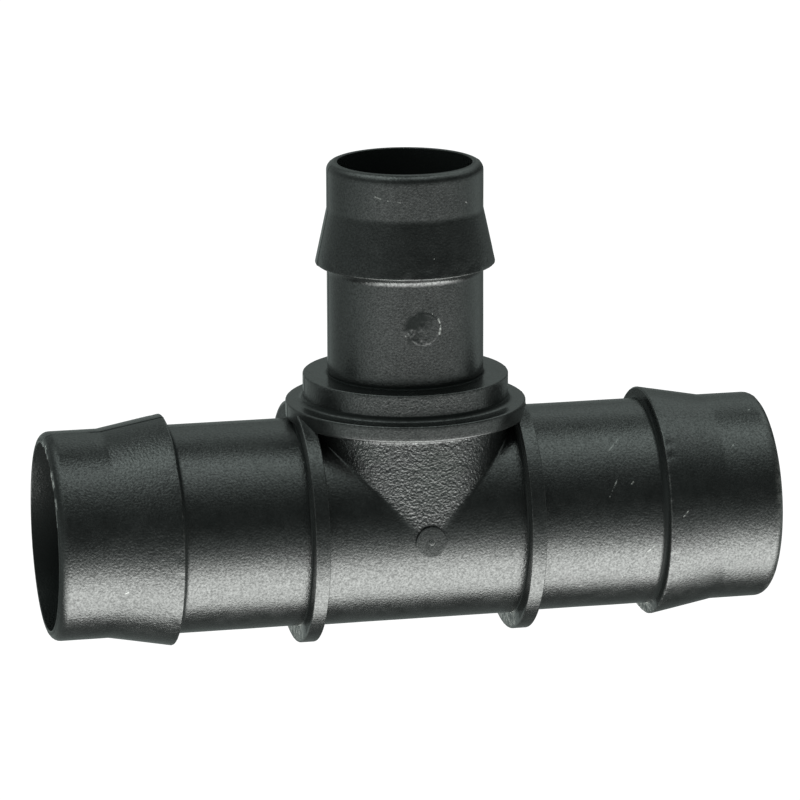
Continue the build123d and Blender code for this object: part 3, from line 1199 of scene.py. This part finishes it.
# --- The pieces ---
def make_arm(side, place, barb_corners, barb_height, barb_wear, barb_grit):
    """One end of the run: its spigot, barb and stop collar."""
    node = f"{side}_spigot"
    section = spigot_section(run_radius, run_bore, spigot_start, spigot_end)
    mesh = turn(skin_name(node), section, place, run_skin, wear=spigot_painted_shade)
    finish_piece(node, mesh, "grained_plastic")

    node = f"{side}_barb"
    mesh = turn(skin_name(node), barb_corners, place, run_skin, barb_height, barb_wear, barb_grit)
    finish_piece(node, mesh, "grained_plastic")

    node = f"{side}_stop_collar"
    mesh = turn(skin_name(node), collar_section(), place, run_skin, wear=collar_painted_light)
    finish_piece(node, cut_by(mesh, flange_room.copy()), "grained_plastic")


def make_flange_room():
    """The room that the flange takes from the run's collars."""
    above = 2 * flange_high
    section = [
        corner(flange_low, NIB_RADIUS),
        corner(flange_low, flange_radius, FLANGE_LOW_ROUND),
        corner(above, flange_radius),
        corner(above, NIB_RADIUS),
    ]
    return turn("flange_room", section, place_branch, SKINLESS)


def make_branch():
    """The branch's collar, reducer disc, spigot and barb."""
    node = "branch_stop_collar"
    mesh = turn(skin_name(node), flange_section(), place_branch, body_radius)
    finish_piece(node, mesh, "satin_plastic")

    node = "branch_reducer_disc"
    mesh = turn(skin_name(node), disc_section(), place_branch, branch_skin, wear=disc_painted_shade, grit=disc_grit)
    finish_piece(node, mesh, "satin_plastic")

    node = "branch_spigot"
    section = spigot_section(branch_radius, branch_bore, disc_end, branch_spigot_end)
    mesh = turn(skin_name(node), section, place_branch, branch_skin, witness_height, branch_spigot_wear,
                angles=FINE_ANGLES, pitch=FINE_PITCH)
    finish_piece(node, mesh, "satin_plastic")

    node = "branch_barb"
    mesh = turn(skin_name(node), branch_barb_section(), place_branch, branch_skin, chips(branch_crest),
                grit=cone_grit)
    finish_piece(node, mesh, "satin_plastic")


def make_gate_pad():
    """The round pad where the plastic was let into the mould, with the gate's nib on it."""
    node = "gate_pad"
    mesh = turn(skin_name(node), pad_section(), place_pad, SKINLESS, grit=pad_grit, angles=PAD_ANGLES,
                inside_wear=0.0)
    finish_piece(node, mesh, "satin_plastic")


# --- Build ---
bpy.context.scene.view_settings.view_transform = "Standard"
make_camera()
make_world()
make_floor()

run_scratches = strokes(place_right, (
    (run_radius, 23.3, 45, 24.9, 52.5, 0.5),
    (run_radius, 22.5, 17, 23.8, 27.7, 0.5),
    (run_crest - 0.3 * MM, 31.5, 6, 32.5, 10, 0.6),
    (run_radius, 27.1, -15.6, 28.3, -10.4, 0.7),
    (run_crest - 0.25 * MM, 30.5, -10.4, 31.5, -6.7, 0.5),
    (run_radius + 0.6 * MM, 35.2, -41, 37.7, -33, 0.7),
    (run_radius, 19.3, -36.3, 19.7, -36.0, 0.6),
    (run_radius + 0.2 * MM, -36.9, -19.2, -36.5, -18.4, 0.9),
    (run_radius + 0.3 * MM, -36.4, -16.5, -37.5, -19.5, 0.4),
    (run_radius, 42.2, 69, 42.4, 70, 0.9),
    (run_radius, 38.8, 43, 39.0, 44, 0.9),
    (run_radius, 19.7, 47, 19.9, 48, 0.6),
    (run_radius, 25.5, 24.5, 25.8, 26, 0.6),
))
branch_scratches = strokes(place_branch, (
    (branch_radius, 41.6, -34.5, 41.4, -30, 0.35),
    (branch_radius, 41.2, -25, 41.0, -16, 0.35),
    (branch_radius, 40.4, 37.5, 40.3, 38.5, 0.8),
    (branch_radius, 24.8, -13, 24.7, -12, 0.9),
))
plastics = {
    "grained_plastic": black_plastic(
        "grained_black_plastic", grain_length=0.26 * MM, grain_height=0.035 * MM, scratches=run_scratches,
    ),
    "satin_plastic": black_plastic(
        "satin_black_plastic", grain_length=0.24 * MM, grain_height=0.021 * MM, scratches=branch_scratches,
    ),
}

flange_room = make_flange_room()
# The left mouth's lip gets painted shade.
make_arm("left", place_left, run_barb_section(MOUTH_SHADE), left_barb_height, left_barb_wear,
         run_barb_grit(LEFT_BARB_GRIT))
make_arm("right", place_right, run_barb_section(MOUTH_RUB), chips(run_crest), heel_painted_light,
         run_barb_grit(RIGHT_BARB_GRIT))
make_hub()
make_branch()
make_gate_pad()
